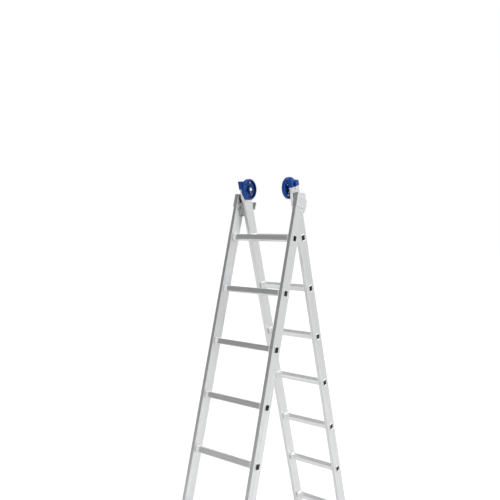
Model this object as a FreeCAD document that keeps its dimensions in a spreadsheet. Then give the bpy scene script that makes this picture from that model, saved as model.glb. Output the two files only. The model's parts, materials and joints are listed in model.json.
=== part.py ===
import FreeCAD, Part
import Sketcher
import math
import os

# Two-section aluminium extension ladder, stood as an A-frame, in millimetres.
#
# Each section is drawn upright in its own frame: X along the rungs, Y rearward, Z up the stiles,
# with the pivot axis of the two sections as its X axis. The section's placement then lifts it to the
# pivot's height and leans it, the base section's feet towards -Y and the fly section's towards +Y.
# The origin is on the floor, midway between the feet.

doc = FreeCAD.newDocument("ExtensionLadder")
sheet = doc.addObject("Spreadsheet::Sheet", "Sizes")

DRIVING = [
    # the two sections
    ("base_width", 408), ("fly_width", 342), ("stile_thick", 21), ("stile_depth", 64),
    ("stile_wall", 1.6), ("stile_radius", 2.5), ("half_offset", 25), ("lean", 15.5),
    ("rung_count", 7), ("rung_spacing", 280), ("first_rung_drop", 143), ("stile_below_rung", 230),
    ("base_top", 86), ("fly_top", 150),
    # rungs
    ("rung_depth", 30), ("rung_rise", 30), ("rung_wall", 1.5), ("rung_radius", 4),
    ("rim_width", 1.8), ("rim_thick", 1.2), ("collar_length", 16), ("collar_wall", 1.8),
    ("groove_count", 5), ("groove_pitch", 4), ("groove_width", 1.8), ("groove_depth", 0.6),
    # feet
    ("foot_rise", 34), ("sole_thick", 9), ("plug_length", 60), ("plug_gap", 0.2),
    ("tread_count", 6), ("tread_gap", 3), ("tread_depth", 2.5),
    # guide brackets at the top of the base section
    ("plate_thick", 3), ("sleeve_bottom", 18), ("plate_rear", 60.5), ("lip_bottom", 34),
    ("lip_top", 75), ("lip_length", 34), ("plate_toe", -14), ("end_plug_lip", 2.5),
    ("toe_start", -20), ("toe_front", -11), ("toe_rear", 6), ("ear_low", 14), ("ear_high", 26),
    ("ear_drop", 2), ("cheek_corner", 14), ("bend_radius", 2.5),
    # guide shoes that ride on the fly section's stiles
    ("shoe_web_in", 2.6), ("shoe_web", 5), ("shoe_wall", 3.5), ("shoe_fit", 0.5),
    ("shoe_wrap", 4), ("shoe_low", -18), ("shoe_mid", 24), ("shoe_high", 58), ("rib_width", 9),
    ("shoe_shoulder", 30),
    # pins, studs and rivets
    ("pivot_radius", 4), ("running_fit", 0.05), ("pin_head_radius", 8), ("pin_head_rise", 3),
    ("pin_foot_radius", 6.5), ("pin_foot_rise", 2), ("stud_radius", 4), ("stud_height", 48),
    ("stud_gap", 0.15), ("rivet_radius", 2.4), ("rivet_head", 4.6), ("rivet_rise", 1.6),
    ("rivet_front", 10), ("rivet_low", 7), ("rivet_drop", 12), ("rivet_rear", 14), ("rivet_rear_low", 9),
    ("stud_reach", 1),
    # wheels and end caps at the top of the fly section
    ("wheel_radius", 56), ("wheel_width", 20), ("wheel_gap", 8), ("wheel_height", 121),
    ("rim_inner", 47.5), ("hub_radius", 15), ("web_thick", 5), ("web_hole", 5.5),
    ("web_hole_ring", 38.5), ("slot_ring", 22.5), ("slot_radius", 4.5), ("spoke_count", 6),
    ("rib_thick", 3), ("rib_drop", 5.5), ("rib_root", 2), ("tread_radius", 4),
    ("axle_radius", 5), ("bush_radius", 8),
    ("axle_head_radius", 7), ("axle_head_rise", 3), ("side_play", 0.3), ("clip_radius", 9.5),
    ("clip_rise", 3), ("cap_bottom", 129), ("cap_wall", 2.5), ("cap_top_wall", 5),
    ("crown_radius", 4.5), ("knob_radius", 12), ("knob_rise", 10), ("knob_drop", 8), ("knob_root", 1),
]
for row, (alias, value) in enumerate(DRIVING, start=1):
    sheet.set(f"A{row}", alias)
    sheet.set(f"B{row}", str(value))
    sheet.setAlias(f"B{row}", alias)
doc.recompute()


def size(expression):
    """The value of an expression over the sheet's cells, in millimetres or degrees."""
    found = sheet.evalExpression(expression)
    return float(getattr(found, "Value", found))


def named(expression):
    """The expression with the sheet's name put before each of its cells."""
    words = []
    word = ""
    for letter in expression + " ":
        if letter.isalnum() or letter == "_":
            word += letter
            continue
        words.append("Sizes." + word if word in ALIASES else word)
        words.append(letter)
        word = ""
    return "".join(words).strip()


ALIASES = {alias for alias, value in DRIVING}
PLANE_ROLE = {"XY": "XY_Plane", "YZ": "YZ_Plane"}

finished = []          # every sub-part that is written as a node


# ---------------------------------------------------------------- helpers

def new_body(name):
    body = doc.addObject("PartDesign::Body", name)
    body.Label = name
    return body


def origin_feature(body, role):
    return next(item for item in body.Origin.OriginFeatures if item.Role == role)


def new_sketch(body, name, plane, offset="0", across="0", up="0"):
    """A sketch on one of the body's own origin planes, moved along the plane's normal and within it."""
    sketch = body.newObject("Sketcher::SketchObject", name)
    sketch.AttachmentSupport = [(origin_feature(body, PLANE_ROLE[plane]), "")]
    sketch.MapMode = "FlatFace"
    sketch.setExpression("AttachmentOffset.Base.x", named(across))
    sketch.setExpression("AttachmentOffset.Base.y", named(up))
    sketch.setExpression("AttachmentOffset.Base.z", named(offset))
    return sketch


def bind(sketch, constraint, expression):
    """Add a dimension to the sketch and tie it to an expression."""
    index = sketch.addConstraint(constraint)
    sketch.setExpression(f"Constraints[{index}]", named(expression))


def outline(sketch, points):
    """A closed outline of straight sides through points given as pairs of expressions."""
    corners = [FreeCAD.Vector(size(x), size(y), 0) for x, y in points]
    first = sketch.GeometryCount
    count = len(corners)
    for index in range(count):
        sketch.addGeometry(Part.LineSegment(corners[index], corners[(index + 1) % count]), False)
    for index in range(count):
        line = first + index
        sketch.addConstraint(Sketcher.Constraint("Coincident", line, 2, first + (index + 1) % count, 1))
        x, y = points[index]
        place = corners[index]
        bind(sketch, Sketcher.Constraint("DistanceX", -1, 1, line, 1, place.x), x)
        bind(sketch, Sketcher.Constraint("DistanceY", -1, 1, line, 1, place.y), y)


def rounded(sketch, left, right, low, high, radius):
    """A rectangle with round corners, between four expressions."""
    x0, x1, y0, y1, r = (size(item) for item in (left, right, low, high, radius))
    first = sketch.GeometryCount
    sides = [((x0 + r, y0), (x1 - r, y0)), ((x1, y0 + r), (x1, y1 - r)),
             ((x1 - r, y1), (x0 + r, y1)), ((x0, y1 - r), (x0, y0 + r))]
    centres = [(x1 - r, y0 + r), (x1 - r, y1 - r), (x0 + r, y1 - r), (x0 + r, y0 + r)]
    normal = FreeCAD.Vector(0, 0, 1)
    for quarter, ((start, end), centre) in enumerate(zip(sides, centres)):
        sketch.addGeometry(Part.LineSegment(FreeCAD.Vector(*start, 0), FreeCAD.Vector(*end, 0)), False)
        circle = Part.Circle(FreeCAD.Vector(*centre, 0), normal, r)
        turn = (quarter - 1) * math.pi / 2
        sketch.addGeometry(Part.ArcOfCircle(circle, turn, turn + math.pi / 2), False)
    for quarter in range(4):
        line = first + 2 * quarter
        arc = line + 1
        after = first + (2 * quarter + 2) % 8
        sketch.addConstraint(Sketcher.Constraint("Tangent", line, 2, arc, 1))
        sketch.addConstraint(Sketcher.Constraint("Tangent", arc, 2, after, 1))
        sketch.addConstraint(Sketcher.Constraint("Vertical" if quarter % 2 else "Horizontal", line))
        if quarter:
            sketch.addConstraint(Sketcher.Constraint("Equal", first + 1, arc))
    bind(sketch, Sketcher.Constraint("DistanceX", -1, 1, first + 6, 1, x0), left)
    bind(sketch, Sketcher.Constraint("DistanceX", -1, 1, first + 2, 1, x1), right)
    bind(sketch, Sketcher.Constraint("DistanceY", -1, 1, first, 1, y0), low)
    bind(sketch, Sketcher.Constraint("DistanceY", -1, 1, first + 4, 1, y1), high)
    bind(sketch, Sketcher.Constraint("Radius", first + 1, r), radius)


def ring(sketch, x, y, radius):
    """A circle about a point, all as expressions."""
    centre = FreeCAD.Vector(size(x), size(y), 0)
    line = sketch.addGeometry(Part.Circle(centre, FreeCAD.Vector(0, 0, 1), size(radius)), False)
    bind(sketch, Sketcher.Constraint("Radius", line, size(radius)), radius)
    bind(sketch, Sketcher.Constraint("DistanceX", -1, 1, line, 3, centre.x), x)
    bind(sketch, Sketcher.Constraint("DistanceY", -1, 1, line, 3, centre.y), y)


def pad(body, name, sketch, length):
    """Add the sketch's profile, pushed along its normal."""
    feature = body.newObject("PartDesign::Pad", name)
    feature.Profile = sketch
    feature.setExpression("Length", named(length))
    doc.recompute()
    return feature


def pocket(body, name, sketch, length):
    """Cut the sketch's profile along its normal, and make sure that it cut something."""
    before = body.Shape.Volume
    feature = body.newObject("PartDesign::Pocket", name)
    feature.Profile = sketch
    feature.Reversed = True
    feature.setExpression("Length", named(length))
    doc.recompute()
    if not feature.Shape.Volume < before - 1:
        raise RuntimeError(f"{body.Label}: {name} cut nothing")
    return feature


def repeat_round(body, name, feature, sketch, count):
    """Repeat a feature round the normal of its own sketch."""
    before = body.Shape.Volume
    ring_of = body.newObject("PartDesign::PolarPattern", name)
    ring_of.Originals = [feature]
    ring_of.Axis = (sketch, ["N_Axis"])
    ring_of.Angle = 360
    ring_of.setExpression("Occurrences", named(count))
    body.Tip = ring_of
    doc.recompute()
    if abs(body.Shape.Volume - before) < 1:
        raise RuntimeError(f"{body.Label}: {name} repeated nothing")


def round_edges(body, name, radius, chosen):
    """Fillet the edges of the body's tip that the test picks."""
    base = body.Tip
    names = [f"Edge{index}" for index, edge in enumerate(base.Shape.Edges, start=1) if chosen(edge)]
    feature = body.newObject("PartDesign::Fillet", name)
    feature.Base = (base, names)
    feature.setExpression("Radius", named(radius))
    doc.recompute()


def runs_along(edge, axis):
    """True for a straight edge parallel to the axis."""
    if not isinstance(edge.Curve, Part.Line):
        return False
    return abs(edge.tangentAt(edge.FirstParameter).dot(axis)) > 0.999


X_AXIS = FreeCAD.Vector(1, 0, 0)
Z_AXIS = FreeCAD.Vector(0, 0, 1)


def rod(name, start, length, radius, y="0", z="0"):
    """A round rod along +X from the expression start."""
    part = doc.addObject("Part::Cylinder", name)
    part.setExpression("Radius", named(radius))
    part.setExpression("Height", named(length))
    part.Placement = FreeCAD.Placement(FreeCAD.Vector(), FreeCAD.Rotation(FreeCAD.Vector(0, 1, 0), 90))
    part.setExpression("Placement.Base.x", named(start))
    part.setExpression("Placement.Base.y", named(y))
    part.setExpression("Placement.Base.z", named(z))
    return part


def fuse(name, parts):
    joined = doc.addObject("Part::MultiFuse", name)
    joined.Shapes = parts
    joined.Label = name
    return joined


def cut(name, base, tool):
    result = doc.addObject("Part::Cut", name)
    result.Base = base
    result.Tool = tool
    result.Label = name
    return result


def group(name, parts):
    """Several separate solids, kept as one node."""
    together = doc.addObject("Part::Compound", name)
    together.Links = parts
    together.Label = name
    return together


def headed_rod(name, side, head_face, head_rise, head_radius, length, radius, y, z):
    """A pin with a rounded head on the outer face of a side, its shank running inwards."""
    if side > 0:
        shank = rod(f"{name}_shank", f"{head_face} - ({length})", length, radius, y, z)
        head = rod(f"{name}_head", head_face, head_rise, head_radius, y, z)
        outer = f"{head_face} + {head_rise}"
    else:
        shank = rod(f"{name}_shank", f"-({head_face})", length, radius, y, z)
        head = rod(f"{name}_head", f"-({head_face}) - {head_rise}", head_rise, head_radius, y, z)
        outer = f"-({head_face}) - {head_rise}"
    doc.recompute()
    domed = doc.addObject("Part::Fillet", f"{name}_dome")
    domed.Base = head
    place = size(outer)
    soft = 0.6 * size(head_rise)
    domed.Edges = [(index, soft, soft) for index, edge in enumerate(head.Shape.Edges, start=1)
                   if isinstance(edge.Curve, Part.Circle) and abs(edge.CenterOfMass.x - place) < 0.01]
    return fuse(name, [shank, domed])


def place_in(section, part):
    """Stand a finished sub-part in its section's place, and keep it as a node."""
    lift = FreeCAD.Vector(0, 0, pivot_height)
    turn = FreeCAD.Rotation(X_AXIS, section.sign * size("lean"))
    part.Placement = FreeCAD.Placement(lift, turn).multiply(part.Placement)
    finished.append(part)


def both_sides():
    return (("left", -1), ("right", 1))


def span(side, low, high):
    """The start and end of a stretch along X, low and high being distances from the middle."""
    return (low, high) if side > 0 else (f"-({high})", f"-({low})")


# ---------------------------------------------------------------- the parts of a ladder section

class Section:
    """One of the two sections; sign is -1 for the base section, in front, and 1 for the fly section."""

    def __init__(self, name, sign, width, top):
        self.name = name
        self.sign = sign
        self.outer = f"{width} / 2"
        self.inner = f"({width} / 2 - stile_thick)"
        self.middle = f"({sign} * half_offset)"
        self.front = f"({sign} * half_offset - stile_depth / 2)"
        self.back = f"({sign} * half_offset + stile_depth / 2)"
        self.top = top
        self.bottom = "(-first_rung_drop - (rung_count - 1) * rung_spacing - stile_below_rung)"

    def rung_height(self, index):
        return f"(-first_rung_drop - {index} * rung_spacing)"

    def sole_height(self, y, lift):
        """Where the floor, or a plane lift above it, crosses the section at y."""
        slope = f"{-self.sign} * ({y} - {self.middle}) * tan(lean * 1deg)"
        raised = f"({lift} - sole_thick) / cos(lean * 1deg)"
        return f"({self.bottom} - foot_rise + {raised} + {slope})"


def make_stile(section, side_name, side, holes):
    """A closed extruded tube, with an opening through both walls for each rung and for each pin."""
    body = new_body(f"{section.name}_stile_{side_name}")
    left, right = span(side, section.inner, section.outer)
    profile = new_sketch(body, f"{body.Label}_profile", "XY", section.bottom)
    rounded(profile, left, right, section.front, section.back, "stile_radius")
    wall = "stile_wall"
    rounded(profile, f"{left} + {wall}", f"{right} - {wall}", f"{section.front} + {wall}",
            f"{section.back} - {wall}", f"stile_radius - {wall}")
    pad(body, f"{body.Label}_tube", profile, f"{section.top} - {section.bottom}")

    opening = new_sketch(body, f"{body.Label}_opening", "YZ", left)
    lowest = section.rung_height("(rung_count - 1)")
    rounded(opening, f"{section.middle} - rung_depth / 2", f"{section.middle} + rung_depth / 2",
            f"{lowest} - rung_rise / 2", f"{lowest} + rung_rise / 2", "rung_radius")
    first = pocket(body, f"{body.Label}_rung_opening", opening, "stile_thick")
    row = body.newObject("PartDesign::LinearPattern", f"{body.Label}_rung_row")
    row.Originals = [first]
    row.Direction = (origin_feature(body, "Z_Axis"), [""])
    row.setExpression("Length", named("(rung_count - 1) * rung_spacing"))
    row.setExpression("Occurrences", named("rung_count"))
    body.Tip = row
    doc.recompute()

    for index, (y, z, radius, start, length) in enumerate(holes, start=1):
        place, unused = span(side, start, f"{start} + {length}")
        drilled = new_sketch(body, f"{body.Label}_hole_{index}", "YZ", place)
        ring(drilled, y, z, radius)
        pocket(body, f"{body.Label}_drilled_{index}", drilled, length)
    place_in(section, body)


def make_rung(section, index):
    """A rectangular tube, grooved on top and below for grip, its ends flared into rims against the stiles."""
    body = new_body(f"{section.name}_rung_{index + 1}")
    height = section.rung_height(index)
    half = f"({section.outer})"

    def loop(sketch, grow):
        deep = f"rung_depth / 2 + {grow}"
        high = f"rung_rise / 2 + {grow}"
        rounded(sketch, f"{section.middle} - ({deep})", f"{section.middle} + ({deep})",
                f"{height} - ({high})", f"{height} + ({high})", f"rung_radius + {grow}")

    tube = new_sketch(body, f"{body.Label}_profile", "YZ", f"-{half}")
    loop(tube, "0")
    loop(tube, "-rung_wall")
    pad(body, f"{body.Label}_tube", tube, f"2 * {half}")
    grooves = new_sketch(body, f"{body.Label}_grooves", "YZ", f"-{half}")
    for face in (1, -1):
        low, high = ("rung_rise / 2 - groove_depth", "rung_rise / 2 + groove_depth")
        if face < 0:
            low, high = (f"-({high})", f"-({low})")
        for number in range(int(size("groove_count"))):
            centre = f"({section.middle} + ({number} - (groove_count - 1) / 2) * groove_pitch)"
            left, right = f"{centre} - groove_width / 2", f"{centre} + groove_width / 2"
            outline(grooves, [(left, f"{height} + {low}"), (right, f"{height} + {low}"),
                              (right, f"{height} + {high}"), (left, f"{height} + {high}")])
    pocket(body, f"{body.Label}_grooved", grooves, f"2 * {half}")
    for name, start in (("left", f"-{half} - rim_thick"), ("right", half)):
        rim = new_sketch(body, f"{body.Label}_rim_{name}", "YZ", start)
        loop(rim, "rim_width")
        loop(rim, "-rung_wall")
        pad(body, f"{body.Label}_flare_{name}", rim, "rim_thick")
    place_in(section, body)


def make_collars(section):
    """A short sleeve round each end of each rung, against the inner face of the stile."""
    collars = []
    for index in range(int(size("rung_count"))):
        for side_name, side in both_sides():
            name = f"{section.name}_collar_{index + 1}_{side_name}"
            length = "collar_length"
            start, unused = span(side, f"{section.inner} - {length}", section.inner)
            height = section.rung_height(index)
            blocks = []
            for part, grow in (("outer", "collar_wall"), ("inner", "0")):
                block = doc.addObject("Part::Box", f"{name}_{part}_block")
                block.setExpression("Length", named(length))
                block.setExpression("Width", named(f"rung_depth + 2 * {grow}"))
                block.setExpression("Height", named(f"rung_rise + 2 * {grow}"))
                block.setExpression("Placement.Base.x", named(start))
                block.setExpression("Placement.Base.y", named(f"{section.middle} - rung_depth / 2 - {grow}"))
                block.setExpression("Placement.Base.z", named(f"{height} - rung_rise / 2 - {grow}"))
                doc.recompute()
                soft = doc.addObject("Part::Fillet", f"{name}_{part}")
                soft.Base = block
                radius = size(f"rung_radius + {grow}")
                soft.Edges = [(number, radius, radius) for number, edge in enumerate(block.Shape.Edges, start=1)
                              if runs_along(edge, X_AXIS)]
                blocks.append(soft)
            collars.append(cut(name, *blocks))
    place_in(section, group(f"{section.name}_rung_collars", collars))


def sole_outline(section):
    """The sole's side outline: level with the floor, with a row of grooves across the tread."""
    points = []
    count = int(size("tread_count"))
    for number in range(count):
        centre = f"({section.front} + ({number} + 0.5) * stile_depth / tread_count)"
        start, end = f"{centre} - tread_gap / 2", f"{centre} + tread_gap / 2"
        points += [(start, section.sole_height(start, "0")), (start, section.sole_height(start, "tread_depth")),
                   (end, section.sole_height(end, "tread_depth")), (end, section.sole_height(end, "0"))]
    points.insert(0, (section.front, section.sole_height(section.front, "0")))
    points.append((section.back, section.sole_height(section.back, "0")))
    for y in (section.back, section.front):
        points.append((y, section.sole_height(y, "sole_thick")))
    return points


def make_foot(section, side_name, side):
    """A moulded foot whose stem fills the end of the tube, cut level with the floor."""
    left, right = span(side, section.inner, section.outer)
    body = new_body(f"{section.name}_foot_{side_name}")
    block = new_sketch(body, f"{body.Label}_profile", "YZ", left)
    outline(block, [(section.front, section.sole_height(section.front, "sole_thick")),
                    (section.back, section.sole_height(section.back, "sole_thick")),
                    (section.back, section.bottom), (section.front, section.bottom)])
    pad(body, f"{body.Label}_block", block, "stile_thick")
    round_edges(body, f"{body.Label}_corners", "stile_radius", lambda edge: runs_along(edge, Z_AXIS))
    inside = "(stile_wall + plug_gap)"
    stem = new_sketch(body, f"{body.Label}_stem", "XY", section.bottom)
    rounded(stem, f"{left} + {inside}", f"{right} - {inside}", f"{section.front} + {inside}",
            f"{section.back} - {inside}", "stile_radius - stile_wall")
    pad(body, f"{body.Label}_plug", stem, "plug_length")
    place_in(section, body)


def make_sole(section, side_name, side):
    """The foot's ribbed rubber sole, lying flat on the floor."""
    left, unused = span(side, section.inner, section.outer)
    body = new_body(f"{section.name}_sole_{side_name}")
    tread = new_sketch(body, f"{body.Label}_profile", "YZ", left)
    outline(tread, sole_outline(section))
    pad(body, f"{body.Label}_block", tread, "stile_thick")
    ends = (size(section.front), size(section.back))
    round_edges(body, f"{body.Label}_corners", "stile_radius",
                lambda edge: runs_along(edge, Z_AXIS)
                and min(abs(edge.CenterOfMass.y - end) for end in ends) < 0.01)
    place_in(section, body)


def make_rivets(name, section, places):
    """Domed rivets: each place is a side, the face the head sits on, the shank's length, and y and z."""
    rivets = []
    for index, (side, face, length, y, z) in enumerate(places, start=1):
        rivets.append(headed_rod(f"{name}_{index}", side, face, "rivet_rise", "rivet_head",
                                 length, "rivet_radius", y, z))
    place_in(section, group(name, rivets))


# ---------------------------------------------------------------- the top of the base section

def make_end_plug(section, side_name, side):
    """A thin moulded lid on the tube's open top, held by its stem."""
    left, right = span(side, section.inner, section.outer)
    body = new_body(f"{section.name}_end_plug_{side_name}")
    lid = new_sketch(body, f"{body.Label}_profile", "XY", section.top)
    rounded(lid, left, right, section.front, section.back, "stile_radius")
    pad(body, f"{body.Label}_lid", lid, "end_plug_lip")
    crown = size(f"{section.top} + end_plug_lip")
    round_edges(body, f"{body.Label}_crown", "end_plug_lip / 2",
                lambda edge: abs(edge.CenterOfMass.z - crown) < 0.01)
    inside = "(stile_wall + plug_gap)"
    stem = new_sketch(body, f"{body.Label}_stem", "XY", f"{section.top} - plug_length / 3")
    rounded(stem, f"{left} + {inside}", f"{right} - {inside}", f"{section.front} + {inside}",
            f"{section.back} - {inside}", "stile_radius - stile_wall")
    pad(body, f"{body.Label}_plug", stem, "plug_length / 3")
    place_in(section, body)


def rivet_places(section, face_name):
    """Y and z of the rivets on one face of a guide bracket; the shoe sweeps over the rest of the inner face."""
    places = [(f"{section.front} + rivet_front", "sleeve_bottom + rivet_low"),
              (section.middle, "base_top - rivet_drop")]
    if face_name == "outer":
        places.append((f"{section.back} - rivet_rear", "sleeve_bottom + rivet_rear_low"))
    return places


def make_guide_bracket(section, side_name, side):
    """A bent plate: a sleeve round the top of the stile, a guide plate behind it and a lip turned inwards."""
    body = new_body(f"guide_bracket_{side_name}")
    plate = "plate_thick"
    low, high = "sleeve_bottom", section.top

    def level_top(y):
        """The height of the bracket's top edge, which is level when the section leans."""
        return f"({high} + ({y} - {section.front}) * tan(lean * 1deg))"

    corner = f"({section.back} - cheek_corner)"
    inner_left, unused = span(side, f"{section.inner} - {plate}", section.inner)
    guide = new_sketch(body, f"{body.Label}_guide_outline", "YZ", inner_left)
    outline(guide, [(f"{section.front} - {plate}", low), ("toe_start", low), ("toe_front", "plate_toe"),
                    ("toe_rear", "plate_toe"), ("plate_rear", f"lip_bottom - {plate}"),
                    ("plate_rear", "lip_top"),
                    ("plate_rear - ear_low", f"{high} - ear_drop"), ("plate_rear - ear_high", high),
                    (section.back, high), (corner, level_top(corner)),
                    (section.front, high), (f"{section.front} - {plate}", high)])
    pad(body, f"{body.Label}_guide_plate", guide, plate)

    outer_left, unused = span(side, section.outer, f"{section.outer} + {plate}")
    cheek = new_sketch(body, f"{body.Label}_cheek_outline", "YZ", outer_left)
    outline(cheek, [(f"{section.front} - {plate}", low), (section.back, low), (section.back, high),
                    (corner, level_top(corner)), (section.front, high), (f"{section.front} - {plate}", high)])
    pad(body, f"{body.Label}_cheek", cheek, plate)

    face_left, face_right = span(side, f"{section.inner} - {plate}", f"{section.outer} + {plate}")
    face = new_sketch(body, f"{body.Label}_face_outline", "XY", low)
    outline(face, [(face_left, f"{section.front} - {plate}"), (face_right, f"{section.front} - {plate}"),
                   (face_right, section.front), (face_left, section.front)])
    pad(body, f"{body.Label}_face", face, f"{high} - {low}")

    lip_left, lip_right = span(side, f"{section.inner} - lip_length", section.inner)
    lip = new_sketch(body, f"{body.Label}_lip_outline", "XY", "lip_bottom")
    outline(lip, [(lip_left, f"plate_rear - {plate}"), (lip_right, f"plate_rear - {plate}"),
                  (lip_right, "plate_rear"), (lip_left, "plate_rear")])
    pad(body, f"{body.Label}_lip", lip, "lip_top - lip_bottom")

    bends = [(face_left, f"{section.front} - {plate}"), (face_right, f"{section.front} - {plate}"),
             (lip_right if side > 0 else lip_left, "plate_rear")]
    corners = [(size(x), size(y)) for x, y in bends]
    round_edges(body, f"{body.Label}_bends", "bend_radius",
                lambda edge: runs_along(edge, Z_AXIS) and min(
                    math.hypot(edge.CenterOfMass.x - x, edge.CenterOfMass.y - y) for x, y in corners) < 0.01)
    pin_hole = new_sketch(body, f"{body.Label}_pin_hole", "YZ", inner_left)
    ring(pin_hole, "0", "0", "pivot_radius")
    pocket(body, f"{body.Label}_pin_drilled", pin_hole, plate)
    for face_name, start in (("outer", outer_left), ("inner", inner_left)):
        for index, (y, z) in enumerate(rivet_places(section, face_name), start=1):
            hole = new_sketch(body, f"{body.Label}_rivet_{face_name}_{index}", "YZ", start)
            ring(hole, y, z, "rivet_radius")
            pocket(body, f"{body.Label}_riveted_{face_name}_{index}", hole, plate)
    place_in(section, body)


def make_bracket_rivets(section):
    places = []
    length = "(plate_thick + stile_wall)"
    for side_name, side in both_sides():
        for y, z in rivet_places(section, "outer"):
            places.append((side, f"({section.outer} + plate_thick)", length, y, z))
        for y, z in rivet_places(section, "inner"):
            places.append((-side, f"(-({section.inner} - plate_thick))", length, y, z))
    make_rivets("bracket_rivets", section, places)


def stud_place():
    """Y and Z in the base section's frame of the stud that the open shoe rests on."""
    reach = "(half_offset - stile_depth / 2 - shoe_fit - shoe_wall - stud_gap - stud_radius)"
    turn = "(2 * lean * 1deg)"
    return (f"({reach} * cos({turn}) - stud_height * sin({turn}))",
            f"({reach} * sin({turn}) + stud_height * cos({turn}))")


def make_stop_studs(section):
    """The two studs on the guide plates that stop the sections opening any further."""
    y, z = stud_place()
    studs = []
    for side_name, side in both_sides():
        reach = "(shoe_web + shoe_web_in + stud_reach)"
        start, unused = span(side, f"{section.inner} - plate_thick - {reach}", f"{section.inner} - plate_thick")
        studs.append(rod(f"stop_stud_{side_name}", start, reach, "stud_radius", y, z))
    place_in(section, group("opening_stop_studs", studs))


def make_pivot_pin(section, side_name, side):
    """A headed pin through the stile, the guide plate and the web of the guide shoe."""
    name = f"pivot_pin_{side_name}"
    web_inner = "(fly_width / 2 + shoe_web_in)"
    foot_start, unused = span(side, web_inner, f"{web_inner} + pin_foot_rise")
    foot = rod(f"{name}_foot", foot_start, "pin_foot_rise", "pin_foot_radius")
    shank = headed_rod(f"{name}_top", side, section.outer, "pin_head_rise", "pin_head_radius",
                       f"({section.outer} - {web_inner})", "pivot_radius", "0", "0")
    place_in(section, fuse(name, [shank, foot]))


# ---------------------------------------------------------------- the shoes between the sections

def make_guide_shoe(section, side_name, side):
    """A moulded channel that slides along the fly section's stile and turns on the pivot pin."""
    body = new_body(f"guide_shoe_{side_name}")
    web_in = f"({section.outer} + shoe_web_in)"
    web_out = f"({web_in} + shoe_web)"
    front = f"({section.front} - shoe_fit)"
    back = f"({section.back} + shoe_fit)"
    web_left, unused = span(side, web_in, web_out)
    web = new_sketch(body, f"{body.Label}_web_outline", "YZ", web_left)
    outline(web, [(f"{front} - shoe_wall", "shoe_low"), (f"{back} + shoe_wall", "shoe_low"),
                  (f"{back} + shoe_wall", "shoe_mid"), (f"{front} + shoe_shoulder", "shoe_high"),
                  (f"{front} - shoe_wall", "shoe_high")])
    pad(body, f"{body.Label}_web", web, "shoe_web")
    wrap_left, unused = span(side, f"{section.outer} - shoe_wrap", web_in)
    for name, start, end, high in (("front", f"{front} - shoe_wall", front, "shoe_high"),
                                   ("back", back, f"{back} + shoe_wall", "shoe_mid")):
        flange = new_sketch(body, f"{body.Label}_{name}_flange", "YZ", wrap_left)
        outline(flange, [(start, "shoe_low"), (end, "shoe_low"), (end, high), (start, high)])
        pad(body, f"{body.Label}_{name}_guide", flange, "shoe_wrap + shoe_web_in")
    rib_left, unused = span(side, f"{section.outer} + shoe_fit", web_in)
    for name, start, high in (("front", front, "shoe_high"), ("back", f"{back} - rib_width", "shoe_mid")):
        rib = new_sketch(body, f"{body.Label}_{name}_rib", "YZ", rib_left)
        outline(rib, [(start, "shoe_low"), (f"{start} + rib_width", "shoe_low"),
                      (f"{start} + rib_width", high), (start, high)])
        pad(body, f"{body.Label}_{name}_runner", rib, "shoe_web_in - shoe_fit")
    bore = new_sketch(body, f"{body.Label}_bore", "YZ", web_left)
    ring(bore, "0", "0", "pivot_radius + running_fit")
    pocket(body, f"{body.Label}_bored", bore, "shoe_web")
    sink_left, unused = span(side, f"{section.outer} + shoe_fit", f"{web_in} + pin_foot_rise + side_play")
    sink = new_sketch(body, f"{body.Label}_sink", "YZ", sink_left)
    ring(sink, "0", "0", "pin_foot_radius + side_play")
    pocket(body, f"{body.Label}_sunk", sink, "shoe_web_in - shoe_fit + pin_foot_rise + side_play")
    place_in(section, body)


# ---------------------------------------------------------------- the top of the fly section

def make_cap(section, side_name, side):
    """A moulded cap over the top of the stile, level on top, with a round bumper on its outer side."""
    body = new_body(f"fly_cap_{side_name}")
    left, right = span(side, section.inner, section.outer)
    wall = "cap_wall"
    front, back = f"({section.front} - {wall})", f"({section.back} + {wall})"
    skirt = new_sketch(body, f"{body.Label}_profile", "YZ", f"{left} - {wall}")
    outline(skirt, [(front, "cap_bottom"), (back, "cap_bottom"), (back, f"{section.top} + cap_top_wall"),
                    (front, f"{section.top} + cap_top_wall + (stile_depth + 2 * {wall}) * tan(lean * 1deg)")])
    pad(body, f"{body.Label}_block", skirt, f"stile_thick + 2 * {wall}")
    round_edges(body, f"{body.Label}_corners", f"stile_radius + {wall}", lambda edge: runs_along(edge, Z_AXIS))
    over = new_sketch(body, f"{body.Label}_room", "XY", "cap_bottom")
    rounded(over, left, right, section.front, section.back, "stile_radius")
    pocket(body, f"{body.Label}_hollow", over, f"{section.top} - cap_bottom")
    top = size(f"{section.top} + cap_top_wall")
    round_edges(body, f"{body.Label}_crown", "crown_radius",
                lambda edge: edge.BoundBox.ZMin > top - 0.01)
    middle_height = f"({section.top} - knob_drop)"
    knob_face = f"{section.outer} + {wall}"
    knob_left, unused = span(side, f"{knob_face} - knob_root", f"{knob_face} + knob_rise")
    knob = new_sketch(body, f"{body.Label}_knob", "YZ", knob_left)
    ring(knob, section.middle, middle_height, "knob_radius")
    pad(body, f"{body.Label}_bumper", knob, "knob_rise + knob_root")
    tip = side * size(f"{section.outer} + {wall} + knob_rise")
    round_edges(body, f"{body.Label}_soft", "knob_rise / 2",
                lambda edge: abs(edge.CenterOfMass.x - tip) < 0.01 and isinstance(edge.Curve, Part.Circle))
    place_in(section, body)


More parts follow.
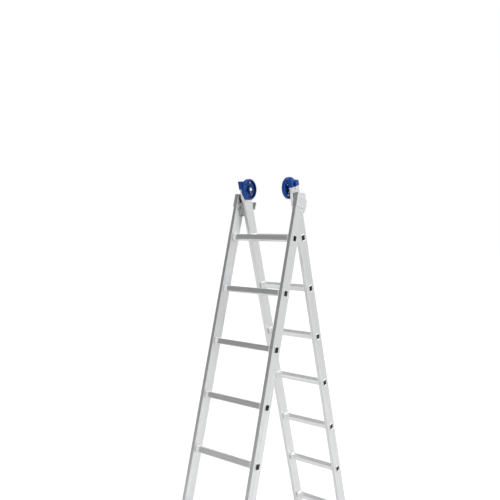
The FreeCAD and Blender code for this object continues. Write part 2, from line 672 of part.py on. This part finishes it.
def make_wheel(section, side_name, side):
    """A moulded wheel: a rim and a hub joined by a thin web with ribs and two rings of round holes."""
    body = new_body(f"wheel_{side_name}")
    left, right = span(side, f"{section.inner} - wheel_gap - wheel_width", f"{section.inner} - wheel_gap")
    centre = (section.middle, "wheel_height")

    def face(name, start):
        return new_sketch(body, f"{body.Label}_{name}", "YZ", start, *centre)

    disc = face("disc", left)
    ring(disc, "0", "0", "wheel_radius")
    pad(body, f"{body.Label}_blank", disc, "wheel_width")
    ends = (size(left), size(left) + size("wheel_width"))
    round_edges(body, f"{body.Label}_tread", "tread_radius",
                lambda edge: min(abs(edge.CenterOfMass.x - end) for end in ends) < 0.01)
    recess = "(wheel_width / 2 - web_thick / 2)"
    for name, start in (("left", left), ("right", f"{left} + wheel_width - {recess}")):
        dish = face(f"dish_{name}", start)
        ring(dish, "0", "0", "rim_inner")
        ring(dish, "0", "0", "hub_radius")
        pocket(body, f"{body.Label}_dished_{name}", dish, recess)
    rib_start = f"{left} + rib_drop"
    rib = face("rib_outline", rib_start)
    outline(rib, [("-rib_thick / 2", "hub_radius - rib_root"), ("rib_thick / 2", "hub_radius - rib_root"),
                  ("rib_thick / 2", "rim_inner + rib_root"), ("-rib_thick / 2", "rim_inner + rib_root")])
    first_rib = pad(body, f"{body.Label}_rib", rib, "wheel_width - 2 * rib_drop")
    repeat_round(body, f"{body.Label}_ribs", first_rib, rib, "spoke_count")
    half_step = "(180deg / spoke_count)"
    for name, reach, radius in (("outer", "web_hole_ring", "web_hole"), ("inner", "slot_ring", "slot_radius")):
        hole = face(f"{name}_hole", left)
        ring(hole, f"{reach} * sin({half_step})", f"{reach} * cos({half_step})", radius)
        first_hole = pocket(body, f"{body.Label}_{name}_hole_cut", hole, "wheel_width")
        repeat_round(body, f"{body.Label}_{name}_holes", first_hole, hole, "spoke_count")
    bore = face("bore", left)
    ring(bore, "0", "0", "bush_radius")
    pocket(body, f"{body.Label}_bored", bore, "wheel_width")
    place_in(section, body)


def make_wheel_fittings(section, side_name, side):
    """The wheel's plain bush, its axle bolt, and with them the spacer and the push-on clip."""
    y, z = section.middle, "wheel_height"
    start, unused = span(side, f"{section.inner} - wheel_gap - wheel_width", f"{section.inner} - wheel_gap")
    name = f"wheel_bush_{side_name}"
    bush = cut(name, rod(f"{name}_outside", start, "wheel_width", "bush_radius", y, z),
               rod(f"{name}_bore", start, "wheel_width", "axle_radius + running_fit", y, z))
    place_in(section, bush)
    length = "(stile_thick + wheel_gap + wheel_width + clip_rise + side_play)"
    axle = headed_rod(f"wheel_axle_{side_name}", side, section.outer, "axle_head_rise", "axle_head_radius",
                      length, "axle_radius", y, z)
    place_in(section, axle)


def tube_piece(name, start, length, outside, inside, y, z):
    return cut(name, rod(f"{name}_outside", start, length, outside, y, z),
               rod(f"{name}_inside", start, length, inside, y, z))


def make_wheel_small_parts(section):
    spacers, clips = [], []
    y, z = section.middle, "wheel_height"
    for side_name, side in both_sides():
        gap = "(wheel_gap - side_play)"
        start, unused = span(side, f"{section.inner} - {gap}", section.inner)
        spacers.append(tube_piece(f"spacer_{side_name}", start, gap, "bush_radius", "axle_radius", y, z))
        hub_end = f"({section.inner} - wheel_gap - wheel_width - side_play)"
        start, unused = span(side, f"{hub_end} - clip_rise", hub_end)
        clips.append(tube_piece(f"clip_{side_name}", start, "clip_rise", "clip_radius", "axle_radius", y, z))
    place_in(section, group("wheel_spacers", spacers))
    place_in(section, group("wheel_clips", clips))


# ---------------------------------------------------------------- the whole ladder

base = Section("base", -1, "base_width", "base_top")
fly = Section("fly", 1, "fly_width", "fly_top")
SOLE_UNDER_AXIS = size(base.sole_height(base.middle, "0"))
LEAN_ANGLE = math.radians(size("lean"))
pivot_height = -SOLE_UNDER_AXIS * math.cos(LEAN_ANGLE) - size("half_offset") * math.sin(LEAN_ANGLE)

foot_rivet_height = f"{base.bottom} + plug_length / 2"
for section in (base, fly):
    for side_name, side in both_sides():
        start = section.inner
        thick = "stile_thick"
        outer_skin = f"({section.outer} - stile_wall)"
        holes = [(section.middle, foot_rivet_height, "rivet_radius", outer_skin, "stile_wall")]
        if section is base:
            holes.append(("0", "0", "pivot_radius", start, thick))
            for face_name, skin in (("outer", outer_skin), ("inner", start)):
                for y, z in rivet_places(section, face_name):
                    holes.append((y, z, "rivet_radius", skin, "stile_wall"))
        else:
            holes.append((section.middle, "wheel_height", "axle_radius", start, thick))
        make_stile(section, side_name, side, holes)
        make_foot(section, side_name, side)
        make_sole(section, side_name, side)
    make_rivets(f"{section.name}_foot_rivets", section,
                [(side, f"({section.outer})", "stile_wall", section.middle, foot_rivet_height)
                 for side_name, side in both_sides()])
    for index in range(int(size("rung_count"))):
        make_rung(section, index)
    make_collars(section)

for side_name, side in both_sides():
    make_end_plug(base, side_name, side)
    make_guide_bracket(base, side_name, side)
    make_pivot_pin(base, side_name, side)
    make_guide_shoe(fly, side_name, side)
    make_cap(fly, side_name, side)
    make_wheel(fly, side_name, side)
    make_wheel_fittings(fly, side_name, side)
make_bracket_rivets(base)
make_stop_studs(base)
make_wheel_small_parts(fly)

doc.recompute()
for item in doc.Objects:
    if "Invalid" in item.State or "Error" in item.State:
        raise RuntimeError(f"{item.Label} failed: {item.State}")
for part in finished:
    if part.Shape.isNull() or not part.Shape.isValid():
        raise RuntimeError(f"{part.Label} has no valid shape")

os.makedirs("parts", exist_ok=True)
for part in finished:
    part.Shape.exportStep(f"parts/{part.Label}.step")
    box = part.Shape.BoundBox
    print(f"{part.Label:24s} solids {len(part.Shape.Solids):3d}  volume {part.Shape.Volume:10.0f}  "
          f"x {box.XMin:7.1f} {box.XMax:7.1f}  y {box.YMin:7.1f} {box.YMax:7.1f}  z {box.ZMin:7.1f} {box.ZMax:7.1f}")
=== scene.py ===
import json
import math

import bmesh
import bpy
from mathutils import Matrix, Vector


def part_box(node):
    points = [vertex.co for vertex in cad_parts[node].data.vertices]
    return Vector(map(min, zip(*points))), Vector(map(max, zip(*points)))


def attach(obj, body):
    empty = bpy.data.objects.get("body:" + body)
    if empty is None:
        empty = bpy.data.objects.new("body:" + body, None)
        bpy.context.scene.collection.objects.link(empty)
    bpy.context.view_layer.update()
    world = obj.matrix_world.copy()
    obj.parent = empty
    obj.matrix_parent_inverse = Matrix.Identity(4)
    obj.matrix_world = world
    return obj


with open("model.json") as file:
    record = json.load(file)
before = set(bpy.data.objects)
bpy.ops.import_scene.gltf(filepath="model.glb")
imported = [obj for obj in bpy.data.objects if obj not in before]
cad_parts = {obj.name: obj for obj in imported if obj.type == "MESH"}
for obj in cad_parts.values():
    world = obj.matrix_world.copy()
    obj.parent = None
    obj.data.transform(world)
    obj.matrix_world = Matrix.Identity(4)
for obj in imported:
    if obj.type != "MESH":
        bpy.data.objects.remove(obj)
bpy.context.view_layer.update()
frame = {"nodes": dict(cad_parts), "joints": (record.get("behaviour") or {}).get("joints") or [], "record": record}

# The looks of the two-section aluminium ladder: materials for the CAD nodes, the rolled rims of the
# rungs' open ends, and a studio. Everything is in metres, in the frame of the CAD model.

MM = 0.001
SLIDE = next(joint for joint in frame["joints"] if joint["name"] == "extension_slide")
LEAN = math.atan2(-SLIDE["axis"][1], SLIDE["axis"][2])
# how each section's stiles stand, as a turn about X: the base section's feet are at -Y
TURN = {"base": -LEAN, "fly": LEAN}


# ---------------------------------------------------------------- building blocks of the materials

class Recipe:
    """A material's node tree while it is put together. Lengths are in millimetres."""

    def __init__(self, name, colour, roughness, metallic=0.0):
        self.material = bpy.data.materials.new(name)
        self.material.use_nodes = True
        self.tree = self.material.node_tree
        self.shader = self.tree.nodes["Principled BSDF"]
        self.give(self.shader.inputs["Base Color"], (*colour, 1))
        self.give(self.shader.inputs["Roughness"], roughness)
        self.give(self.shader.inputs["Metallic"], metallic)

    def give(self, socket, value):
        if isinstance(value, bpy.types.NodeSocket):
            self.tree.links.new(value, socket)
        else:
            socket.default_value = value

    def node(self, kind, inputs, **settings):
        made = self.tree.nodes.new(kind)
        for key, value in settings.items():
            setattr(made, key, value)
        for key, value in inputs.items():
            self.give(made.inputs[key], value)
        return made

    def place(self, turn=0.0, stretch=(1, 1, 1)):
        """Coordinates in millimetres, turned about X, then squeezed by stretch so that patterns run long."""
        coordinates = self.node("ShaderNodeTexCoord", {}).outputs["Object"]
        upright = self.node("ShaderNodeVectorRotate", {"Vector": coordinates, "Angle": -turn},
                            rotation_type="X_AXIS")
        scale = tuple(part / MM for part in stretch)
        made = self.node("ShaderNodeMapping", {"Vector": upright.outputs["Vector"], "Scale": scale})
        return made.outputs["Vector"]

    def noise(self, place, width, detail=3.0):
        """Soft noise from 0 to 1 whose spots are about width millimetres across."""
        made = self.node("ShaderNodeTexNoise", {"Vector": place, "Scale": 1 / width, "Detail": detail})
        return made.outputs["Fac"]

    def cells(self, place, width):
        """Distance to the nearest of scattered points that lie about width millimetres apart."""
        made = self.node("ShaderNodeTexVoronoi", {"Vector": place, "Scale": 1 / width})
        return made.outputs["Distance"]

    def spread(self, value, low, high, to_low, to_high):
        made = self.node("ShaderNodeMapRange", {"Value": value, "From Min": low, "From Max": high,
                                                "To Min": to_low, "To Max": to_high})
        return made.outputs["Result"]

    def sum(self, first, second, operation="ADD"):
        made = self.node("ShaderNodeMath", {0: first, 1: second}, operation=operation)
        return made.outputs["Value"]

    def between(self, factor, first, second):
        """A colour between two, each a tuple or another node's colour."""
        first = first if isinstance(first, bpy.types.NodeSocket) else (*first, 1)
        second = second if isinstance(second, bpy.types.NodeSocket) else (*second, 1)
        made = self.node("ShaderNodeMix", {0: factor, 6: first, 7: second}, data_type="RGBA")
        return made.outputs[2]

    def edges(self, radius):
        """Softened normals, and a mask that is 1 on the edges and 0 on the flats."""
        soft = self.node("ShaderNodeBevel", {"Radius": radius * MM}, samples=4)
        true = self.node("ShaderNodeNewGeometry", {})
        same = self.node("ShaderNodeVectorMath", {0: soft.outputs["Normal"], 1: true.outputs["Normal"]},
                         operation="DOT_PRODUCT")
        return soft.outputs["Normal"], self.spread(same.outputs["Value"], 0.75, 0.99, 1.0, 0.0)

    def recess_shade_mask(self, reach):
        """A mask for painted shade: 1 deep inside a recess about reach millimetres wide and 0 on open faces."""
        openness = self.node("ShaderNodeAmbientOcclusion", {"Distance": reach * MM},
                             samples=8, only_local=True)
        return self.spread(openness.outputs["AO"], 0.66, 0.97, 1.0, 0.0)

    def finish(self, colour, roughness, height, depth, normal):
        """Link the colour, the roughness and a relief of depth millimetres to the shader."""
        relief = self.node("ShaderNodeBump", {"Height": height, "Distance": depth * MM, "Strength": 1.0,
                                              "Normal": normal})
        self.give(self.shader.inputs["Base Color"], colour)
        self.give(self.shader.inputs["Roughness"], roughness)
        self.give(self.shader.inputs["Normal"], relief.outputs["Normal"])
        return self.material


# ---------------------------------------------------------------- the materials

def drawn_metal(name, colour, roughness, turn, stretch, line_width, depth, radius):
    """Extruded or drawn aluminium: fine lines along one direction, faint cloudiness, rubbed edges."""
    made = Recipe(name, colour, roughness, metallic=1.0)
    along = made.place(turn, stretch)
    lines = made.noise(along, line_width, detail=5.0)
    bands = made.noise(along, 9 * line_width, detail=2.0)
    clouds = made.noise(made.place(), 55, detail=4.0)
    soft, edge = made.edges(radius)
    darker = tuple(0.86 * part for part in colour)
    brighter = tuple(min(1.0, 1.1 * part) for part in colour)
    shade = made.between(made.spread(bands, 0.3, 0.7, 0.0, 1.0), darker, colour)
    shade = made.between(made.spread(clouds, 0.35, 0.75, 0.0, 0.35), shade, darker)
    shade = made.between(made.sum(edge, 0.7, "MULTIPLY"), shade, brighter)
    gloss = made.sum(made.spread(lines, 0.3, 0.7, roughness - 0.06, roughness + 0.06),
                     made.spread(clouds, 0.35, 0.7, 0.0, 0.07))
    gloss = made.sum(gloss, made.sum(edge, 0.08, "MULTIPLY"), "SUBTRACT")
    return made.finish(shade, gloss, lines, depth, soft)


def stile_aluminium(section):
    return drawn_metal(f"stile_aluminium_{section}", (0.63, 0.635, 0.64), 0.30, TURN[section],
                       (1, 1, 0.004), 1.1, 0.02, 0.8)


def rung_aluminium(section):
    return drawn_metal(f"rung_aluminium_{section}", (0.70, 0.705, 0.71), 0.32, TURN[section],
                       (0.006, 1, 1), 0.9, 0.02, 0.4)


def bracket_aluminium():
    """Pressed sheet: rolled grain, faint press marks and small scratches."""
    made = Recipe("bracket_aluminium", (0.72, 0.73, 0.74), 0.34, metallic=1.0)
    grain = made.noise(made.place(TURN["base"], (1, 1, 0.03)), 0.7, detail=5.0)
    marks = made.noise(made.place(), 16, detail=5.0)
    scratches = made.cells(made.place(0.6, (1, 1, 0.05)), 7)
    soft, edge = made.edges(0.7)
    shade = made.between(made.spread(marks, 0.3, 0.75, 0.0, 1.0), (0.60, 0.605, 0.61), (0.53, 0.535, 0.545))
    shade = made.between(made.spread(scratches, 0.0, 0.05, 0.5, 0.0), shade, (0.68, 0.68, 0.69))
    shade = made.between(made.sum(edge, 0.8, "MULTIPLY"), shade, (0.70, 0.70, 0.71))
    gloss = made.sum(made.spread(grain, 0.3, 0.7, 0.28, 0.40), made.spread(marks, 0.4, 0.8, 0.0, 0.08))
    height = made.sum(grain, made.sum(marks, 3.0, "MULTIPLY"))
    return made.finish(shade, gloss, height, 0.03, soft)


def rivet_aluminium():
    """Set rivet heads: a turned look with small hammer marks."""
    made = Recipe("rivet_aluminium", (0.72, 0.73, 0.74), 0.33, metallic=1.0)
    marks = made.noise(made.place(), 1.4, detail=3.0)
    soft, edge = made.edges(0.4)
    shade = made.between(made.spread(marks, 0.3, 0.7, 0.0, 1.0), (0.60, 0.61, 0.62), (0.78, 0.79, 0.80))
    shade = made.between(made.sum(edge, 0.6, "MULTIPLY"), shade, (0.86, 0.87, 0.88))
    return made.finish(shade, made.spread(marks, 0.2, 0.8, 0.26, 0.42), marks, 0.06, soft)


def zinc_steel():
    """Zinc plate: pale steel with a faint warm and cool bloom."""
    made = Recipe("zinc_steel", (0.62, 0.64, 0.66), 0.30, metallic=1.0)
    bloom = made.noise(made.place(), 5, detail=4.0)
    grain = made.noise(made.place(), 0.5, detail=2.0)
    soft, edge = made.edges(0.4)
    shade = made.between(made.spread(bloom, 0.3, 0.7, 0.0, 1.0), (0.60, 0.63, 0.67), (0.66, 0.64, 0.58))
    shade = made.between(made.sum(edge, 0.7, "MULTIPLY"), shade, (0.80, 0.80, 0.80))
    return made.finish(shade, made.spread(bloom, 0.3, 0.7, 0.22, 0.38), grain, 0.012, soft)


def moulded(name, colour, roughness, worn, grain_width, depth, radius, shine=0.5):
    """Moulded plastic: mould texture, flow clouds, scuffs, paler rubbed edges and painted shade in recesses."""
    made = Recipe(name, colour, roughness)
    made.give(made.shader.inputs["Specular IOR Level"], shine)
    grain = made.noise(made.place(), grain_width, detail=2.0)
    clouds = made.noise(made.place(), 24, detail=4.0)
    scuffs = made.noise(made.place(0.4, (1, 0.12, 1)), 1.6, detail=5.0)
    soft, edge = made.edges(radius)
    darker = tuple(0.82 * part for part in colour)
    shade = made.between(made.spread(clouds, 0.3, 0.7, 0.0, 1.0), darker, colour)
    shade = made.between(made.spread(scuffs, 0.66, 0.80, 0.0, 0.22), shade, worn)
    rubbed = made.sum(edge, made.spread(clouds, 0.4, 0.6, 0.1, 0.55), "MULTIPLY")
    shade = made.between(rubbed, shade, worn)
    # painted shade: recesses are darkened by ambient occlusion towards a near-black copy of the colour
    painted_recess_shade = tuple(0.12 * part for part in colour)
    shade = made.between(made.recess_shade_mask(40), shade, painted_recess_shade)
    gloss = made.sum(made.spread(clouds, 0.3, 0.7, roughness - 0.05, roughness + 0.05),
                     made.spread(scuffs, 0.6, 0.85, 0.0, 0.2))
    return made.finish(shade, gloss, grain, depth, soft)


def blue_plastic():
    return moulded("blue_plastic", (0.001, 0.046, 0.25), 0.44, (0.008, 0.080, 0.34), 0.7, 0.02, 0.8,
                   shine=0.2)


def grey_nylon():
    return moulded("grey_nylon", (0.36, 0.365, 0.37), 0.46, (0.50, 0.50, 0.51), 0.5, 0.03, 0.6)


def collar_nylon():
    return moulded("collar_nylon", (0.86, 0.86, 0.85), 0.42, (0.93, 0.93, 0.92), 0.5, 0.02, 0.5)


def dark_plastic():
    return moulded("dark_plastic", (0.075, 0.076, 0.08), 0.45, (0.20, 0.20, 0.21), 0.6, 0.03, 0.5)


def bush_nylon():
    return moulded("bush_nylon", (0.68, 0.67, 0.63), 0.40, (0.80, 0.79, 0.75), 0.5, 0.02, 0.3)


def sole_rubber():
    """Black rubber: matt, dusty in its low places and a little grey where it rubs."""
    made = Recipe("sole_rubber", (0.025, 0.025, 0.026), 0.72)
    dust = made.noise(made.place(), 7, detail=6.0)
    grain = made.noise(made.place(), 0.9, detail=3.0)
    soft, edge = made.edges(0.6)
    shade = made.between(made.spread(dust, 0.45, 0.8, 0.0, 0.6), (0.022, 0.022, 0.024), (0.11, 0.105, 0.098))
    shade = made.between(made.sum(edge, 0.5, "MULTIPLY"), shade, (0.09, 0.09, 0.088))
    return made.finish(shade, made.spread(dust, 0.3, 0.8, 0.62, 0.85), grain, 0.08, soft)


SECTION_SLOTS = {"stile_aluminium": stile_aluminium, "rung_aluminium": rung_aluminium}
PLAIN_SLOTS = {"bracket_aluminium": bracket_aluminium, "rivet_aluminium": rivet_aluminium,
               "zinc_steel": zinc_steel, "blue_plastic": blue_plastic, "grey_nylon": grey_nylon,
               "collar_nylon": collar_nylon, "dark_plastic": dark_plastic, "bush_nylon": bush_nylon,
               "sole_rubber": sole_rubber}


def make_materials():
    """Every material, by slot, or by slot and section where its lines follow the section."""
    made = {slot: make() for slot, make in PLAIN_SLOTS.items()}
    for slot, make in SECTION_SLOTS.items():
        for section in TURN:
            made[slot, section] = make(section)
    return made


def material_for(slot, node):
    """The material of a slot on a node, whose name starts with its section where that matters."""
    section = node.split("_")[0]
    return MATERIALS[slot, section] if slot in SECTION_SLOTS else MATERIALS[slot]


# ---------------------------------------------------------------- the rolled ends of the rungs

RUNG_DEPTH = 30 * MM
RUNG_RISE = 30 * MM
RUNG_RADIUS = 4 * MM
RIM_THICK = 1.2 * MM        # the CAD rung's flat rim, which the rolled one covers
RIM_INNER = 1.5 * MM        # from the tube's outside to its inside
RIM_OUTER = 1.9 * MM
RIM_CREST = 2.3 * MM        # how far the roll stands off the stile
CORNER_STEPS = 8
ROLL_STEPS = 10


def corner_directions():
    """For each point round a rectangle with round corners: its corner's signs and its outward angle."""
    for quarter, signs in enumerate(((1, 1), (-1, 1), (-1, -1), (1, -1))):
        for step in range(CORNER_STEPS + 1):
            yield signs, (quarter + step / CORNER_STEPS) * math.pi / 2


def roll_profile():
    """Half an oval, as pairs of how far outside the tube and how far off the stile."""
    middle = (RIM_OUTER - RIM_INNER) / 2
    half = (RIM_OUTER + RIM_INNER) / 2
    for step in range(ROLL_STEPS + 1):
        angle = math.pi * step / ROLL_STEPS
        yield middle + half * math.cos(angle), RIM_CREST * math.sin(angle)


def add_roll(mesh, side, face, centre, turn):
    """A closed rolled rim round one mouth of a rung, on the stile's outer face at X = face."""
    lean = Matrix.Rotation(turn, 3, "X")
    rings = []
    for signs, angle in corner_directions():
        ring = []
        for outside, off in roll_profile():
            reach = RUNG_RADIUS + outside
            y = signs[0] * (RUNG_DEPTH / 2 - RUNG_RADIUS) + reach * math.cos(angle)
            z = signs[1] * (RUNG_RISE / 2 - RUNG_RADIUS) + reach * math.sin(angle)
            spot = Vector((face + side * off, 0, 0)) + centre + lean @ Vector((0, y, z))
            ring.append(mesh.verts.new(spot))
        rings.append(ring)
    for here, after in zip(rings, rings[1:] + rings[:1]):
        for low, high in zip(range(len(here)), list(range(1, len(here))) + [0]):
            mesh.faces.new((here[low], here[high], after[high], after[low]))


def make_rims(section, body):
    """The rolled rims at both ends of all the rungs of one section."""
    mesh = bmesh.new()
    start = f"{section}_rung_"
    rungs = sorted(name for name in frame["nodes"] if name.startswith(start) and name[-1].isdigit())
    for name in rungs:
        low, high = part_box(name)
        centre = Vector((0, (low.y + high.y) / 2, (low.z + high.z) / 2))
        add_roll(mesh, 1, high.x - RIM_THICK, centre, TURN[section])
        add_roll(mesh, -1, low.x + RIM_THICK, centre, TURN[section])
    bmesh.ops.recalc_face_normals(mesh, faces=mesh.faces)
    return add_piece(f"{section}_rung_rims", mesh, body, "rung_aluminium")


def add_piece(name, mesh, body, slot):
    """Turn a finished bmesh into a piece that rides on a body and has a slot's material."""
    data = bpy.data.meshes.new(name)
    mesh.to_mesh(data)
    mesh.free()
    for face in data.polygons:
        face.use_smooth = True
    piece = bpy.data.objects.new(name, data)
    bpy.context.scene.collection.objects.link(piece)
    piece.data.materials.append(material_for(slot, name))
    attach(piece, body)
    return piece


# ---------------------------------------------------------------- the studio

FLOOR_SIZE = 60.0
DIM_DIRECTION = Vector((-0.60, -0.68, 0.42)).normalized()
DIM_LEVEL = 0.36
BRIGHT_LEVEL = 1.0


def make_floor():
    """A wide sheet of pale paper under the ladder."""
    mesh = bmesh.new()
    bmesh.ops.create_grid(mesh, x_segments=2, y_segments=2, size=FLOOR_SIZE / 2)
    data = bpy.data.meshes.new("floor")
    mesh.to_mesh(data)
    mesh.free()
    floor = bpy.data.objects.new("floor", data)
    bpy.context.scene.collection.objects.link(floor)
    made = Recipe("floor_paper", (0.90, 0.90, 0.90), 0.8)
    made.give(made.shader.inputs["Specular IOR Level"], 0.1)
    floor.data.materials.append(made.material)


def make_world():
    """A pale room, dimmer towards the front, above and to the left, which the front faces mirror.

    The room behind the ladder is plain white where the camera sees it directly.
    """
    world = bpy.data.worlds.new("studio")
    world.use_nodes = True
    tree = world.node_tree
    background = tree.nodes["Background"]
    direction = tree.nodes.new("ShaderNodeTexCoord")
    facing = tree.nodes.new("ShaderNodeVectorMath")
    facing.operation = "DOT_PRODUCT"
    facing.inputs[1].default_value = DIM_DIRECTION
    level = tree.nodes.new("ShaderNodeMapRange")
    level.interpolation_type = "SMOOTHSTEP"
    level.inputs["From Min"].default_value = 0.15
    level.inputs["From Max"].default_value = 0.9
    level.inputs["To Min"].default_value = BRIGHT_LEVEL
    level.inputs["To Max"].default_value = DIM_LEVEL
    seen = tree.nodes.new("ShaderNodeLightPath")
    strength = tree.nodes.new("ShaderNodeMath")
    strength.operation = "MAXIMUM"
    tree.links.new(direction.outputs["Generated"], facing.inputs[0])
    tree.links.new(facing.outputs["Value"], level.inputs["Value"])
    tree.links.new(level.outputs["Result"], strength.inputs[0])
    tree.links.new(seen.outputs["Is Camera Ray"], strength.inputs[1])
    tree.links.new(strength.outputs["Value"], background.inputs["Strength"])
    background.inputs["Color"].default_value = (1.0, 1.0, 1.0, 1)
    bpy.context.scene.world = world


def add_light(name, place, target, width, power):
    """A square soft light facing a point."""
    light = bpy.data.lights.new(name, "AREA")
    light.size = width
    light.energy = power
    lamp = bpy.data.objects.new(name, light)
    lamp.location = place
    lamp.rotation_euler = (Vector(target) - Vector(place)).to_track_quat("-Z", "Y").to_euler()
    bpy.context.scene.collection.objects.link(lamp)


def make_lights():
    """A very soft sun, so that the floor is evenly pale, and two soft boxes near the ladder."""
    sun = bpy.data.lights.new("sun", "SUN")
    sun.energy = 1.6
    sun.angle = math.radians(70)
    high = bpy.data.objects.new("sun", sun)
    high.rotation_euler = (math.radians(-20), math.radians(25), 0)
    bpy.context.scene.collection.objects.link(high)
    middle = (0, 0, 1.3)
    add_light("key", (2.6, 2.2, 3.8), middle, 2.0, 40)
    add_light("fill", (3.2, -3.0, 3.6), middle, 2.6, 30)


def make_camera():
    """A camera in front of the ladder and to its right, a little below its top and tilted slightly down."""
    data = bpy.data.cameras.new("camera")
    data.lens = 45.20
    data.shift_y = 0.04
    camera = bpy.data.objects.new("camera", data)
    camera.location = (1.990, -2.646, 1.986)
    camera.rotation_euler = (math.radians(90 - 4.759), 0, math.radians(38.722))
    bpy.context.scene.collection.objects.link(camera)
    bpy.context.scene.camera = camera


# ---------------------------------------------------------------- putting it together

MATERIALS = make_materials()
for row in frame["record"]["subparts"]:
    shown = frame["nodes"][row["node"]].data
    shown.materials.clear()
    shown.materials.append(material_for(row["material_slot"], row["node"]))

make_rims("base", "base_section")
make_rims("fly", "fly_section")

make_floor()
make_world()
make_lights()
make_camera()
bpy.context.scene.view_settings.view_transform = "Standard"
